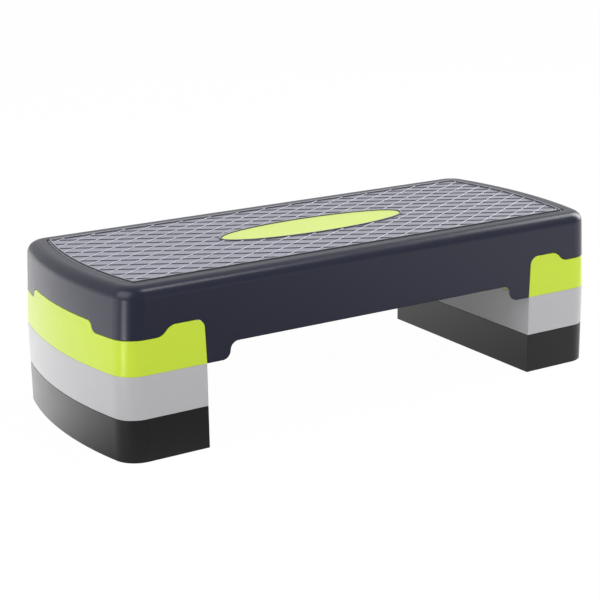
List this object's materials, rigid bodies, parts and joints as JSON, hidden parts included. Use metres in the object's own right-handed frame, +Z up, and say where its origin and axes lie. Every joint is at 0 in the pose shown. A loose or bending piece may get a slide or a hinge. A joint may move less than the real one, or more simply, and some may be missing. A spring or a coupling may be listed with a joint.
{
  "type": "aerobic step platform",
  "caption": "Bench-shaped exercise step with a ribbed anti-slip tread on fixed end legs, standing on stacked lift-off risers that set its height.",
  "frame": {"origin": "on the floor, under the middle of the platform", "axes": "+X along the platform's length, +Y across its width, +Z up"},
  "size_m": [0.7, 0.285, 0.2],
  "materials": {
    "deck_plastic": "satin moulded",
    "tread_rubber": "ribbed, satin",
    "badge_plastic": "satin",
    "leg_plastic": "satin moulded",
    "upper_riser_plastic": "satin moulded",
    "lower_riser_plastic": "satin moulded",
    "foot_rubber": "matte",
    "screw_steel": "zinc plated"
  },
  "bodies": {
    "lower_riser_left": {"lower_riser_left": "lower_riser_plastic", "lower_riser_left_foot_front_inner": "foot_rubber", "lower_riser_left_foot_back_inner": "foot_rubber", "lower_riser_left_foot_front_outer": "foot_rubber", "lower_riser_left_foot_back_outer": "foot_rubber"},
    "upper_riser_left": {"upper_riser_left": "upper_riser_plastic", "upper_riser_left_foot_front_inner": "foot_rubber", "upper_riser_left_foot_back_inner": "foot_rubber", "upper_riser_left_foot_front_outer": "foot_rubber", "upper_riser_left_foot_back_outer": "foot_rubber"},
    "platform": {"deck": "deck_plastic", "tread_mat": "tread_rubber", "badge_plate": "badge_plastic", "leg_left": "leg_plastic", "leg_right": "leg_plastic", "leg_screws_left": "screw_steel", "leg_screws_right": "screw_steel", "leg_left_foot_front_inner": "foot_rubber", "leg_left_foot_back_inner": "foot_rubber", "leg_left_foot_front_outer": "foot_rubber", "leg_left_foot_back_outer": "foot_rubber", "leg_right_foot_front_inner": "foot_rubber", "leg_right_foot_back_inner": "foot_rubber", "leg_right_foot_front_outer": "foot_rubber", "leg_right_foot_back_outer": "foot_rubber"},
    "upper_riser_right": {"upper_riser_right": "upper_riser_plastic", "upper_riser_right_foot_front_inner": "foot_rubber", "upper_riser_right_foot_back_inner": "foot_rubber", "upper_riser_right_foot_front_outer": "foot_rubber", "upper_riser_right_foot_back_outer": "foot_rubber"},
    "lower_riser_right": {"lower_riser_right": "lower_riser_plastic", "lower_riser_right_foot_front_inner": "foot_rubber", "lower_riser_right_foot_back_inner": "foot_rubber", "lower_riser_right_foot_front_outer": "foot_rubber", "lower_riser_right_foot_back_outer": "foot_rubber"}
  },
  "joints": [
    {"name": "upper_riser_left_lift", "type": "slide", "parent": "lower_riser_left", "child": "upper_riser_left", "axis": [0, 0, 1], "range_m": [0, 0.06]},
    {"name": "platform_lift", "type": "slide", "parent": "upper_riser_left", "child": "platform", "axis": [0, 0, 1], "range_m": [0, 0.06]},
    {"name": "upper_riser_right_release", "type": "slide", "parent": "platform", "child": "upper_riser_right", "axis": [0, 0, -1], "range_m": [0, 0.06]},
    {"name": "lower_riser_right_release", "type": "slide", "parent": "upper_riser_right", "child": "lower_riser_right", "axis": [0, 0, -1], "range_m": [0, 0.06]}
  ],
  "couplings": [
    {"joint": "upper_riser_right_release", "follows": "platform_lift", "ratio": 1},
    {"joint": "lower_riser_right_release", "follows": "upper_riser_left_lift", "ratio": 1}
  ]
}
